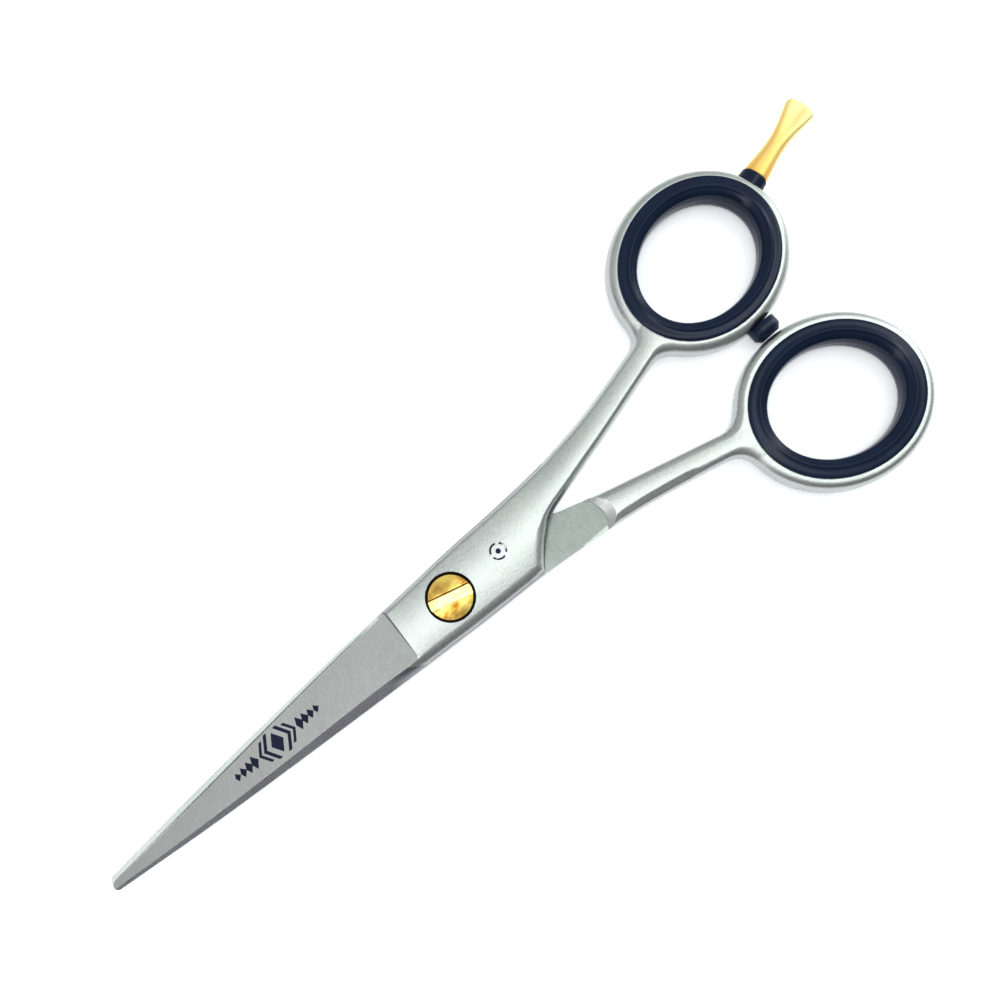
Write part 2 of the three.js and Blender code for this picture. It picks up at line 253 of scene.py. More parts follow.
def smooth(piece, crease=40):
    piece.data.shade_smooth()
    piece.data.set_sharp_from_angle(angle=math.radians(crease))


# ---------------------------------------------------------------- sizes, in millimetres

MID = sum(box_mm("finger_ring_insert"))[2] / 2
RIDE_GAP = 0.05
BODY_TOP = 2.5

# Curves along X: the outline's edges, the blade's ridge and its height, and the handle's two faces.
SPINE = along((-12, 5.72), (-6, 5.5), (0, 5.24), (20, 3.94), (40, 2.45), (54.9, 0.98))
RIDGE = along((8, 3.62), (14, 3.05), (30, 2.3), (42, 1.62), (54.9, 0.6))
RIDGE_HEIGHT = along((8, 2.38), (20, 1.95), (40, 1.3), (54.9, 0.66))
FRONT_EDGE = ((-5, -5.2), (0, -4.95), (20, -3.52), (40, -1.75), (54.9, -0.36))
EDGE = along((-12, -5.4), *FRONT_EDGE)
SHANK_UNDER = along((-46, 1.9), (-40, 1.75), (-34, 1.4), (-28, 1.0), (-25, 0.7), (-22, 0.35))
SHANK_HEIGHT = along((-46, 1.9), (-32, 2.05), (-18, 2.42), (-10, 2.5))

# Each half in its own frame, outer face up: the handle's inner edge, the outer edge from ring to tip, and the
# middle line that the handle's faces fall away from. `over` is -1 for the half that is turned over.
HEEL = ((-17, 0.75), (-16, 1.55), (-15, 2.4), (-14, 3.4), (-13, 4.5), (-12, 5.72))
BODY_MIDDLE = ((-10, -0.4), (0, -0.2), (10, -0.2))
FINGER = {
    "insert": "finger_ring_insert",
    "ring_width": 2.15,
    "fillet": 2.6,
    "inner": along((-46, -7.7), (-40, -6.0), (-30, -3.15), (-25, -1.85), (-20, -0.5), (-18.4, 0.0), *HEEL),
    "outer": along((-46, -11.6), (-40, -9.85), (-30, -7.42), (-25, -6.55), (-20, -5.9), (-12, -5.4),
                   *FRONT_EDGE),
    "middle": along((-46, -9.2), (-40, -7.1), (-30, -4.3), (-22, -2.5), (-16, -1.4), *BODY_MIDDLE),
    "over": 1,
}
THUMB = {
    "insert": "thumb_ring_insert",
    "ring_width": 2.2,
    "fillet": 3.0,
    "inner": along((-46, -7.9), (-40, -6.25), (-30, -3.65), (-25, -2.3), (-20, -0.8), (-18.4, -0.25), *HEEL),
    "outer": along((-46, -11.6), (-40, -10.05), (-30, -7.9), (-25, -7.1), (-20, -6.5), (-14, -5.9),
                   *FRONT_EDGE),
    "middle": along((-46, -9.8), (-40, -8.2), (-30, -5.7), (-22, -3.8), (-16, -1.9), *BODY_MIDDLE),
    "over": -1,
}

# The rings' bores are ellipses, RING_A and RING_B their half axes; RING_HALF is half the rings' thickness.
RING_A, RING_B = 12.32, 10.2
RING_TILT = math.radians(12.7)
RING_HALF = 1.9


def ring_centre(half):
    low, high = box_mm(half["insert"])
    middle = (low + high) / 2
    return middle[0], middle[1] * half["over"]


def ring_offset(half, x, y):
    """Distance outside the ring's bore, an ellipse, found by closing in on its nearest point."""
    cx, cy = ring_centre(half)
    c, s = math.cos(RING_TILT), math.sin(RING_TILT)
    u = (x - cx) * c + (y - cy) * s
    v = (y - cy) * c - (x - cx) * s
    au, av = np.abs(u), np.abs(v)
    tx = ty = np.full(np.broadcast(au, av).shape, math.sqrt(0.5))
    for _ in range(4):
        ex = (RING_A ** 2 - RING_B ** 2) / RING_A * tx ** 3
        ey = (RING_B ** 2 - RING_A ** 2) / RING_B * ty ** 3
        rx, ry = RING_A * tx - ex, RING_B * ty - ey
        qx, qy = au - ex, av - ey
        ratio = np.hypot(rx, ry) / np.maximum(np.hypot(qx, qy), 1e-9)
        tx = np.clip((qx * ratio + ex) / RING_A, 0, 1)
        ty = np.clip((qy * ratio + ey) / RING_B, 0, 1)
        size = np.maximum(np.hypot(tx, ty), 1e-9)
        tx, ty = tx / size, ty / size
    gap = np.hypot(au - RING_A * tx, av - RING_B * ty)
    outside = (u / RING_A) ** 2 + (v / RING_B) ** 2 > 1
    return np.where(outside, gap, -gap)


# The finger rest points out of its ring's far end, from just inside the metal's surface.
REST_ANGLE = math.radians(15.8)
REST_REACH = RING_A + FINGER["ring_width"] - 0.02
COLLAR = 1.55
REST_LENGTH = 13.7
REST_AXIS = (-math.cos(REST_ANGLE), -math.sin(REST_ANGLE), 0)
REST_FOOT = np.dot(REST_AXIS[:2], ring_centre(FINGER)) + REST_REACH + COLLAR


# ---------------------------------------------------------------- the forged halves

COARSE_STEPS = (0.36, 0.24, 0.2)
FINE_STEPS = (0.18, 0.13, 0.12)

# The blade's ground flat starts at a step near GRIND_X, which leans by STEP_LEAN. At the cutting edge it ends
# EDGE_FACE of the ridge's height up, and a steep bevel EDGE_BEVEL wide goes down to EDGE_HEIGHT.
GRIND_X = 8.0
STEP_LEAN = 0.22
EDGE_FACE = 0.42
EDGE_BEVEL = 0.35
EDGE_HEIGHT = 0.09
TIP_ROUND = (54.35, 0.2, 1.05)  # x, y and radius

CROWN = 0.085  # how far a handle's face falls at its side, over half its width
BAR_END = -47  # inside the ring's rim
FACET_SLOPE = 0.42
RELIEF_ARC = (-19.4, -4.1, 4.0)  # x, y and radius of the ride plane's end at the shank
RELIEF_LEAN = 2.0
ON_FACE = 0.03  # how near a face is to a ground plane to belong to it
ON_RIDE = 0.015

# The screw's holes: the seat for head and washer and the clearance hole, then the thumb half's tapped hole.
SEAT_RADIUS = 3.36
SEAT_FLOOR = 1.1
CLEARANCE_RADIUS = 1.85
TAPPED_RADIUS = 1.56


def face_height(x, y):
    """The ground flat of the blade, falling from the ridge to the cutting edge."""
    top = RIDGE_HEIGHT(x)
    fall = top * (1 - EDGE_FACE) / (RIDGE(x) - EDGE(x) - EDGE_BEVEL)
    return top - (RIDGE(x) - y) * fall


def grind_line(y):
    return GRIND_X + 0.06 * (y - 1)


def ride_height(x, y):
    """The inner face that the other half rides on; behind the body it is hollowed towards the spine side."""
    return RIDE_GAP + 0.10 * np.maximum(y + 6.2, 0) * smoothstep(-9, -14, x)


def on_ring(x):
    return smoothstep(-42, -46.5, x)


def on_body(x):
    return smoothstep(-18, -11, x)


def crowned(half, x, y, shift):
    """How far a handle's face falls away from its middle line towards its sides."""
    half_width = 2.1 + 3.1 * smoothstep(-24, -9, x)
    across = (y - half["middle"](x) - shift) / half_width
    return CROWN * half_width * np.minimum(across * across, 2.0) * (1 - on_ring(x))


def plan_distance(half, offset, x, y):
    """Distance outside the outline seen from above: the bar of blade and shank, melted into the ring."""
    bar = np.maximum(side_distance(half["inner"], x, y), -side_distance(half["outer"], x, y))
    bar = np.maximum(bar, side_distance(SPINE, x, y))
    bar = np.maximum(bar, BAR_END - x)
    return soft_min(bar, offset - half["ring_width"], half["fillet"])


def outer_side(half, plan, x, y, w):
    """The handle's upper face; its rim is rounder along the spine and at the heel."""
    heel = smoothstep(-23, -17, x) * smoothstep(-9.5, -12.5, x) * smoothstep(0.4, 2.2, y - half["middle"](x))
    spine = on_body(x) * smoothstep(-1, 3, y)
    wide = 0.9 + 0.75 * np.maximum(spine, heel) + 0.4 * on_ring(x)
    deep = 1.5 - 0.1 * on_body(x) + 0.75 * heel
    top = np.clip(SHANK_HEIGHT(x), RING_HALF, BODY_TOP)
    return rounded(plan, w - top + crowned(half, x, y, 0.0), wide, deep)


def inner_side(half, plan, x, y, w):
    """The handle's lower face, with a sloping facet along the shank's outer side."""
    under = np.clip(SHANK_UNDER(x), 0, RING_HALF)
    below = 1.6 * smoothstep(-25, -20, x)  # past the rounding, so that the ride plane's rim is sharp
    if half is THUMB:
        below = below * (1 - smoothstep(-15, -12.5, x) * smoothstep(-1, 2, y))
    face = -w - under - below + crowned(half, x, y, -0.6)
    face = rounded(plan, face, 1.05, 1.5 - 0.5 * (1 - on_ring(x)))
    facet_width = 0.1 + 1.1 * smoothstep(-21.5, -25.5, x) - 1.6 * smoothstep(-35, -43, x)
    facet = chamfer(plan, -w - under, facet_width, FACET_SLOPE)
    elsewhere = np.maximum(on_body(x), smoothstep(-0.4, 0.4, y - half["middle"](x)))
    return np.maximum(face, facet - 40 * elsewhere)


def blade_blank(plan, x, y, w):
    """The blade before grinding, with the bevel along its spine."""
    bevel = (y - RIDGE(x) + w - RIDGE_HEIGHT(x)) * math.sqrt(0.5)
    return np.maximum(np.maximum(bevel, plan), w - BODY_TOP)


def ground_off(x, y, w):
    """What is ground off between the step and the tip: all above the flat and above the edge's bevel."""
    ahead = x - grind_line(y) - STEP_LEAN * np.maximum(BODY_TOP - w, 0)
    lift = EDGE_FACE * RIDGE_HEIGHT(x)
    edge = (EDGE(x) - y) * lift + (w - EDGE_HEIGHT) * EDGE_BEVEL
    edge = edge / np.hypot(lift, EDGE_BEVEL)
    return np.minimum(ahead, np.maximum(w - face_height(x, y), edge))


def tip_off(x, y):
    tip_x, tip_y, radius = TIP_ROUND
    return np.where(x > tip_x, np.hypot(x - tip_x, y - tip_y) - radius, -1.0)


def ridden_off(x, y, w):
    """What is cut from the inner side: everything below the ride plane, up to the arc at the shank."""
    arc_x, arc_y, radius = RELIEF_ARC
    shank = np.minimum(arc_x - x, np.hypot(x - arc_x, y - arc_y) - radius) + RELIEF_LEAN * np.minimum(w, 0)
    return np.minimum(ride_height(x, y) - w, -shank)


def bored_off(half, x, y, w):
    radius = np.hypot(x, y)
    if half is THUMB:
        return TAPPED_RADIUS - radius
    seat = np.maximum(radius - SEAT_RADIUS, SEAT_FLOOR - w)
    return -np.minimum(seat, radius - CLEARANCE_RADIUS)


def half_field(half):
    """A forged half in its own frame: its outer face is up, and w is the height over the mid-plane."""
    def field(x, y, w):
        offset = ring_offset(half, x, y)
        plan = plan_distance(half, offset, x, y)
        handle = np.maximum(outer_side(half, plan, x, y, w), inner_side(half, plan, x, y, w))
        blade = blade_blank(plan, x, y, w)
        solid = handle + (blade - handle) * smoothstep(5, 14, x)
        cuts = (-offset, ground_off(x, y, w), tip_off(x, y), ridden_off(x, y, w), bored_off(half, x, y, w))
        for cut in cuts:
            solid = np.maximum(solid, cut)
        return solid

    return field


# the last two materials are darker copies of the ground steel: painted shade on the ride plane and on facets
# turned from the light
BLASTED, GROUND, RIDE, SHADE_PAINTED = range(4)  # a half's materials


def steel_regions(half, mesh):
    """The material of each face: ground flat, ride plane, and the bevel, step and walls that get painted shade;
    the rest is blasted.
    """
    x, y, w = face_columns(mesh, "center")
    nx, ny, nw = face_columns(mesh, "normal")
    ground = (x > grind_line(y)) & (np.abs(w - face_height(x, y)) < ON_FACE) | (x > 13)
    ride = np.abs(w - ride_height(x, y)) < ON_RIDE
    # painted shade: the spine bevel, the grinding step and the side walls, which turn from the light, get the
    # darker steel
    bevel = (x > 4 + 2.7 * w) & (ny > 0.42) & (nw > -0.2)
    step = (x > 7) & (x < 10) & (nx > 0.6) & (w > 0.2)
    wall = (x > -21) & (x < 9) & (w > 0.03) & (nw < 0.55) & (np.abs(ny) > 0.2)
    wall = wall & (np.abs(y - half["middle"](x)) > 0.3) & (np.hypot(x, y) > 4)
    return np.select([bevel | step | wall, ride, ground], [SHADE_PAINTED, RIDE, GROUND], BLASTED)


def forged_half(name, half, coarse):
    low, high = box_mm(name)
    if half["over"] < 0:
        low[1], high[1] = -high[1], -low[1]
    low = np.array((low[0], low[1], -BODY_TOP)) - MARGIN
    high = np.array((high[0], high[1], BODY_TOP)) + MARGIN
    piece = carve(name + "_forging", half_field(half), low, high, COARSE_STEPS if coarse else FINE_STEPS)
    paint(piece, (blasted_steel, ground_steel, ride_painted_shade_steel, shade_painted_steel), steel_regions(half, piece.data))
    place(piece, half["over"] < 0)
    smooth(piece, 32)
    return piece


# ---------------------------------------------------------------- materials

def new_material(name):
    made = bpy.data.materials.new(name)
    made.use_nodes = True
    return made, made.node_tree.nodes, made.node_tree.links


def noise(nodes, links, coords, scale, detail, rough):
    node = nodes.new("ShaderNodeTexNoise")
    node.inputs["Scale"].default_value = scale
    node.inputs["Detail"].default_value = detail
    node.inputs["Roughness"].default_value = rough
    links.new(coords, node.inputs["Vector"])
    return node


def ramp(nodes, links, value, stops):
    node = nodes.new("ShaderNodeValToRGB")
    elements = node.color_ramp.elements
    while len(elements) < len(stops):
        elements.new(0.5)
    for element, (at, colour) in zip(elements, stops):
        element.position = at
        element.color = (*colour, 1)
    links.new(value, node.inputs["Fac"])
    return node


COLOUR_A, COLOUR_B, COLOUR_RESULT = 6, 7, 2  # the mix node's colour sockets


def blend_colours(nodes, links, mode, factor, first, second):
    node = nodes.new("ShaderNodeMix")
    node.data_type = "RGBA"
    node.blend_type = mode
    node.inputs["Factor"].default_value = factor
    links.new(first, node.inputs[COLOUR_A])
    links.new(second, node.inputs[COLOUR_B])
    return node.outputs[COLOUR_RESULT]


def blend_values(nodes, links, factor, first, second):
    node = nodes.new("ShaderNodeMix")
    node.data_type = "FLOAT"
    node.inputs["Factor"].default_value = factor
    links.new(first.outputs["Fac"], node.inputs["A"])
    links.new(second.outputs["Fac"], node.inputs["B"])
    return node.outputs["Result"]


def grey(v):
    return (v, v, v)


def bump(nodes, links, height, shader, distance, strength):
    node = nodes.new("ShaderNodeBump")
    node.inputs["Strength"].default_value = strength
    node.inputs["Distance"].default_value = distance
    links.new(height, node.inputs["Height"])
    links.new(node.outputs["Normal"], shader.inputs["Normal"])


def object_coords(nodes):
    return nodes.new("ShaderNodeTexCoord").outputs["Object"]


def roughness_ramp(nodes, links, value, shader, low, high):
    rough = ramp(nodes, links, value, [(0.3, grey(low)), (0.7, grey(high))])
    links.new(rough.outputs["Color"], shader.inputs["Roughness"])


def make_blasted_steel():
    """Bead-blasted steel: a fine grain over broad, faint clouds."""
    made, nodes, links = new_material("blasted_steel")
    shader = nodes["Principled BSDF"]
    shader.inputs["Metallic"].default_value = 1.0
    coords = object_coords(nodes)
    grain = noise(nodes, links, coords, 3000, 4, 0.65)
    cloud = noise(nodes, links, coords, 200, 4, 0.6)
    mixed = blend_values(nodes, links, 0.35, grain, cloud)
    colour = ramp(nodes, links, mixed, [(0.32, (0.46, 0.48, 0.475)), (0.7, (0.565, 0.59, 0.58))])
    links.new(colour.outputs["Color"], shader.inputs["Base Color"])
    roughness_ramp(nodes, links, grain.outputs["Fac"], shader, 0.26, 0.37)
    bump(nodes, links, grain.outputs["Fac"], shader, 0.00004, 0.6)
    return made


def make_ground_steel(name, dark, light):
    """Steel ground across the blade, with fine streaks along Y."""
    made, nodes, links = new_material(name)
    shader = nodes["Principled BSDF"]
    shader.inputs["Metallic"].default_value = 1.0
    coords = object_coords(nodes)
    mapping = nodes.new("ShaderNodeMapping")
    mapping.inputs["Scale"].default_value = (1.0, 0.06, 1.0)
    links.new(coords, mapping.inputs["Vector"])
    lines = noise(nodes, links, mapping.outputs["Vector"], 5200, 2, 0.6)
    cloud = noise(nodes, links, coords, 120, 3, 0.55)
    mixed = blend_values(nodes, links, 0.6, lines, cloud)
    colour = ramp(nodes, links, mixed, [(0.3, dark), (0.7, light)])
    links.new(colour.outputs["Color"], shader.inputs["Base Color"])
    roughness_ramp(nodes, links, lines.outputs["Fac"], shader, 0.24, 0.32)
    bump(nodes, links, lines.outputs["Fac"], shader, 0.000006, 0.5)
    return made


def make_gold(name, dark, light, patches, patch_depth, roughness, foot=None):
    """Gold plate in patches of two colours, which on the screw's head are painted reflections of the dark room;
    foot is an axis, two places on it and the tint at the first.
    """
    made, nodes, links = new_material(name)
    shader = nodes["Principled BSDF"]
    shader.inputs["Metallic"].default_value = 1.0
    coords = object_coords(nodes)
    cloud = noise(nodes, links, coords, patches, 2, 0.5)
    fine = noise(nodes, links, coords, 2600, 3, 0.6)
    colour = ramp(nodes, links, cloud.outputs["Fac"], [(0.35, dark), (0.62, light)]).outputs["Color"]
    if foot:
        axis, start, end, tint = foot
        place_along = nodes.new("ShaderNodeVectorMath")
        place_along.operation = "DOT_PRODUCT"
        place_along.inputs[1].default_value = axis
        links.new(coords, place_along.inputs[0])
        share = nodes.new("ShaderNodeMapRange")
        share.inputs["From Min"].default_value = start
        share.inputs["From Max"].default_value = end
        links.new(place_along.outputs["Value"], share.inputs["Value"])
        fade = ramp(nodes, links, share.outputs["Result"], [(0.0, tint), (1.0, grey(1.0))])
        colour = blend_colours(nodes, links, "MULTIPLY", 1.0, colour, fade.outputs["Color"])
    links.new(colour, shader.inputs["Base Color"])
    roughness_ramp(nodes, links, fine.outputs["Fac"], shader, roughness - 0.04, roughness + 0.04)
    bump(nodes, links, cloud.outputs["Fac"], shader, patch_depth, 0.8)
    return made


def make_plastic(name, dark, light, roughness, specular, grain):
    """Plastic or ink in clouds of two colours, with a fine grain of the given depth."""
    made, nodes, links = new_material(name)
    shader = nodes["Principled BSDF"]
    shader.inputs["Specular IOR Level"].default_value = specular
    coords = object_coords(nodes)
    fine = noise(nodes, links, coords, 2600, 3, 0.55)
    cloud = noise(nodes, links, coords, 220, 2, 0.5)
    colour = ramp(nodes, links, cloud.outputs["Fac"], [(0.3, dark), (0.7, light)])
    links.new(colour.outputs["Color"], shader.inputs["Base Color"])
    roughness_ramp(nodes, links, cloud.outputs["Fac"], shader, roughness - 0.05, roughness + 0.05)
    bump(nodes, links, fine.outputs["Fac"], shader, grain, 0.4)
    return made


blasted_steel = make_blasted_steel()
ground_steel = make_ground_steel("ground_steel", (0.50, 0.52, 0.51), (0.585, 0.605, 0.60))
# painted shade: the ride plane's steel is a darker copy of the ground steel, for the light the plane doesn't
# catch
ride_painted_shade_steel = make_ground_steel("ride_painted_shade_steel", (0.35, 0.38, 0.36), (0.43, 0.465, 0.445))
# painted shade: a darker copy of the ground steel for facets that turn from the light
shade_painted_steel = make_ground_steel("shade_painted_steel", (0.26, 0.25, 0.28), (0.36, 0.35, 0.385))
# painted reflection: the screw's dark brown patches stand for the dark room mirrored in the polished head
screw_gold_and_painted_reflections = make_gold("polished_gold", (0.46, 0.20, 0.03), (1.0, 0.74, 0.22), 430, 0.00016, 0.13)
# painted shade for the slot's wall, and below it a painted highlight for the slot's floor
slot_shade = make_gold("slot_shade", (0.20, 0.10, 0.02), (0.34, 0.18, 0.04), 500, 0.00002, 0.4)
slot_floor_painted_highlight = make_gold("slot_floor_painted_highlight", (0.95, 0.68, 0.26), (1.0, 0.86, 0.50), 700, 0.00002, 0.3)
rest_gold = make_gold("satin_gold", (1.0, 0.76, 0.32), (1.0, 0.88, 0.46), 110, 0.00002, 0.5,
                      (REST_AXIS, REST_FOOT * MM, (REST_FOOT + 9) * MM, (0.98, 0.72, 0.42)))
navy_plastic = make_plastic("navy_plastic", (0.004, 0.014, 0.040), (0.006, 0.019, 0.056),
                            0.16, 0.26, 0.000004)
ink = make_plastic("etched_ink", (0.008, 0.014, 0.040), (0.012, 0.020, 0.055), 0.45, 0.25, 0.000004)
black_nylon = make_plastic("black_nylon", (0.003, 0.003, 0.004), (0.006, 0.006, 0.008), 0.55, 0.2, 0.00002)


# ---------------------------------------------------------------- turned and swept pieces

def mesh_piece(name, verts, faces, material):
    mesh = bpy.data.meshes.new(name)
    mesh.from_pydata([tuple(v) for v in verts], [], faces)
    mesh.materials.append(material)
    piece = bpy.data.objects.new(name, mesh)
    bpy.context.scene.collection.objects.link(piece)
    return piece


def loops_piece(name, loops, material):
    """A closed skin through a closed row of closed loops."""
    rows, n = len(loops), len(loops[0])
    faces = []
    for i in range(rows):
        for k in range(n):
            a, b = i * n, (i + 1) % rows * n
            faces.append((a + k, a + (k + 1) % n, b + (k + 1) % n, b + k))
    return mesh_piece(name, [p for loop in loops for p in loop], faces, material)


def eased(points, pieces=4):
    """A closed outline through the points, rounded between them; a point given twice stays sharp."""
    n = len(points)
    pts = [np.array(p, float) for p in points]
    out = []
    for i in range(n):
        before, here, there, after = pts[i - 1], pts[i], pts[(i + 1) % n], pts[(i + 2) % n]
        if np.allclose(here, there):
            continue
        start = np.zeros(2) if np.allclose(before, here) else (there - before) / 2
        end = np.zeros(2) if np.allclose(there, after) else (after - here) / 2
        for k in range(pieces):
            t = k / pieces
            q = 1 - t
            between = here * q * q * (1 + 2 * t) + there * t * t * (3 - 2 * t)
            out.append(between + start * t * q * q - end * t * t * q)
    return out


def ring_insert(name, half, steps):
    """The snap-in liner: a flange on each face, a crest, a groove and a wall that narrows to its waist."""
    # Each point is (distance outside the bore, height), from the upper flange's rim down to the waist.
    upper = [(0.70, 1.96), (0.70, 2.1), (0.6, 2.24), (0.3, 2.31), (-0.2, 2.33), (-0.5, 2.36),
             (-0.72, 2.45), (-0.86, 2.49), (-1.02, 2.46), (-1.14, 2.36), (-1.3, 2.27), (-1.6, 2.15),
             (-1.9, 1.9), (-2.08, 1.6), (-2.18, 1.2), (-2.27, 0.7)]
    lower = [(o, -w) for o, w in reversed(upper)]
    seat, rim = -0.06, upper[0][1]
    channel = [(seat, -rim), (seat, -rim), (seat, rim), (seat, rim)]
    outline = eased([upper[0]] + upper + [(-2.28, 0)] + lower + [lower[-1]] + channel)
    cx, cy = ring_centre(half)
    c, s = math.cos(RING_TILT), math.sin(RING_TILT)
    loops = []
    for i in range(steps):
        ca, sa = math.cos(TAU * i / steps), math.sin(TAU * i / steps)
        size = math.hypot(RING_B * ca, RING_A * sa)
        loop = []
        for offset, w in outline:
            u = RING_A * ca + offset * RING_B * ca / size
            v = RING_B * sa + offset * RING_A * sa / size
            loop.append((cx + u * c - v * s, cy + u * s + v * c, w))
        loops.append(loop)
    piece = loops_piece(name, loops, navy_plastic)
    place(piece, half["over"] < 0)
    smooth(piece)
    return piece


def turned(name, profile, material, segments, axis="Z", centre_x=0):
    """A turned piece: profile points are (radius, height), on the axis at both ends or a closed ring."""
    on_axis = profile[0][0] == 0
    verts, faces = [], []
    body = profile[1:-1] if on_axis else profile
    for i in range(segments):
        a = TAU * i / segments
        verts += [(r * math.cos(a), r * math.sin(a), h) for r, h in body]
    n = len(body)
    bands = n - 1 if on_axis else n
    for i in range(segments):
        a, b = i * n, (i + 1) % segments * n
        for k in range(bands):
            faces.append((a + k, b + k, b + (k + 1) % n, a + (k + 1) % n))
    if on_axis:
        verts += [(0, 0, profile[0][1]), (0, 0, profile[-1][1])]
        first, last = len(verts) - 2, len(verts) - 1
        for i in range(segments):
            a, b = i * n, (i + 1) % segments * n
            faces.append((first, b, a))
            faces.append((last, a + n - 1, b + n - 1))
    if axis == "Y":
        verts = [(x, h, -y) for x, y, h in verts]
    verts = [(x + centre_x, y, w) for x, y, w in verts]
    piece = mesh_piece(name, verts, faces, material)
    place(piece)
    smooth(piece)
    return piece


# ---------------------------------------------------------------- screw, bumper and finger rest

SLOT_ANGLE = math.radians(-15)
SLOT_HALF_WIDTH = 0.8
SLOT_FLOOR = 1.8
HEAD_RADIUS = 3.1
HEAD_TOP = 2.48
HEAD_UNDER = 1.42
HEAD_CROWN = 0.34
SHOULDER_RADIUS = 1.75
SHOULDER_TOP = 1.6  # inside the head, as the tail's top is inside the shoulder
TAIL_RADIUS = 1.5
TAIL_TOP = 1.0
TAIL_CHAMFER = 0.22


def slot_distance(x, y):
    return np.abs(y * math.cos(SLOT_ANGLE) - x * math.sin(SLOT_ANGLE)) - SLOT_HALF_WIDTH


def screw_field(x, y, w):
    """A domed, slotted head, a shoulder from the mid-plane up into the head, and a chamfered tail."""
    r = np.hypot(x, y)
    crown = HEAD_TOP - HEAD_CROWN * (r / HEAD_RADIUS) ** 2
    head = np.maximum(rounded(r - HEAD_RADIUS, w - crown, 0.14, 0.14), HEAD_UNDER - w)
    shoulder = np.maximum(r - SHOULDER_RADIUS, np.maximum(-w, w - SHOULDER_TOP))
    below = -w - BODY_TOP
    tail = np.maximum(chamfer(r - TAIL_RADIUS, below, TAIL_CHAMFER, 1.0), np.maximum(r - TAIL_RADIUS, below))
    tail = np.maximum(tail, w - TAIL_TOP)
    whole = np.minimum(np.minimum(head, shoulder), tail)
    slot = np.maximum(slot_distance(x, y), SLOT_FLOOR - w)
    return soft_max(whole, -slot, 0.07)


def tension_screw(coarse):
    """The screw; its slot's floor is painted pale as a highlight, and a strip along the wall that turns from
    the light is painted dark as shade.
    """
    step = 0.11 if coarse else 0.065
    corner = np.array((3.3, 3.3, 2.7))
    piece = carve("tension_screw_turned", screw_field, -corner, corner, (step, step, step))
    x, y, w = face_columns(piece.data, "center")
    # the slot's floor gets the painted highlight and the strip along its wall the painted shade
    inside = (slot_distance(x, y) < 0.05) & (w > SLOT_FLOOR - 0.05)
    strip = np.where(y < -x * math.tan(-SLOT_ANGLE), -0.17, -0.04)
    shade = inside & (slot_distance(x, y) > strip)
    floor = inside & (w < SLOT_FLOOR + 0.06)
    paint(piece, (screw_gold_and_painted_reflections, slot_floor_painted_highlight, slot_shade), np.select([shade, floor], [2, 1], 0))
    place(piece)
    smooth(piece, 30)
    return piece


# The finger rest along its length, from its foot: half its width and depth, and the depth of its trough.
REST_HALF_WIDTH = along((0, 1.85), (2.2, 1.62), (4.3, 1.4), (6.5, 1.35), (8.5, 1.54), (10.5, 1.9),
                        (12.8, 2.32), (14, 2.4))
REST_HALF_DEPTH = along((0, 1.3), (4, 1.02), (7, 0.95), (11, 0.85), (14, 0.6))
TROUGH = along((5, 0), (7.5, 0.08), (10, 0.18), (14, 0.26))
REST_GAP = 0.05  # between the collar and the rest
STUD_RADIUS = 1.0
STUD_REACH = 2.85
STUD_HOLE = 1.06


def rest_frame(x, y):
    """Distance past the rest's foot, and distance to its side."""
    cx, cy = ring_centre(FINGER)
    c, s = math.cos(REST_ANGLE), math.sin(REST_ANGLE)
    ahead = -((x - cx) * c + (y - cy) * s) - REST_REACH - COLLAR - REST_GAP
    return ahead, (x - cx) * s - (y - cy) * c


def rest_field(x, y, w):
    """An oval bar that flares into a fishtail with a shallow trough, on a stud that reaches into the ring."""
    ahead, side = rest_frame(x, y)
    s = np.clip(ahead, 0, REST_LENGTH)
    half_width = REST_HALF_WIDTH(s)
    half_depth = REST_HALF_DEPTH(s)
    flare = smoothstep(5, 11, s)
    power = 2.1 + 1.1 * flare
    section = ((np.abs(side) / half_width) ** power + (np.abs(w) / half_depth) ** power) ** (1 / power) - 1
    dip = np.maximum(TROUGH(s), 0) * np.exp(-(side / (0.5 * half_width)) ** 2)
    dip = dip * smoothstep(0, 1.5, REST_LENGTH + 0.6 - ahead)
    section = soft_max(section * half_depth, w - half_depth + dip, 0.2)
    end = ahead - REST_LENGTH + 0.6 * np.abs(side / 2.2) ** 3
    bar = soft_max(section, end, 0.35)
    bar = soft_max(bar, -ahead, 0.12)
    stud = np.maximum(np.hypot(side, w) - STUD_RADIUS, np.maximum(-ahead - STUD_REACH, ahead - 1))
    return np.minimum(bar, stud)


def finger_rest(coarse):
    low, high = box_mm("finger_rest")
    step = 0.16 if coarse else 0.09
    piece = carve("finger_rest_cast", rest_field, (low[0] - MARGIN, low[1] - MARGIN, -1.7),
                  (high[0] + MARGIN, high[1] + MARGIN, 1.7), (step, step, step))
    piece.data.materials.append(rest_gold)
    place(piece)
    smooth(piece)
    return piece


def collar_field(x, y, w):
    """An oval washer, cut to the ring's surface on one side and crowned on the other, with a stud hole."""
    ahead, side = rest_frame(x, y)
    grown = 1 - 0.03 * ahead
    oval = (np.hypot(side / (2.0 * grown), w / (1.5 * grown)) - 1) * 1.5
    crown = ahead + REST_GAP + 0.07 * (side / 2) ** 2 + 0.1 * (w / 1.5) ** 2
    block = soft_max(np.maximum(oval, -ahead - 2.55), crown, 0.22)
    block = np.maximum(block, 0.05 - half_field(FINGER)(x, y, w))
    return np.maximum(block, STUD_HOLE - np.hypot(side, w))


def rest_collar(coarse):
    low, high = box_mm("finger_rest_collar")
    step = 0.14 if coarse else 0.08
    piece = carve("finger_rest_washer", collar_field, (low[0] - 0.5, low[1] - MARGIN, -1.9),
                  (high[0] + 0.5, high[1] + MARGIN, 1.9), (step, step, step))
    piece.data.materials.append(navy_plastic)
    place(piece)
    smooth(piece)
    return piece


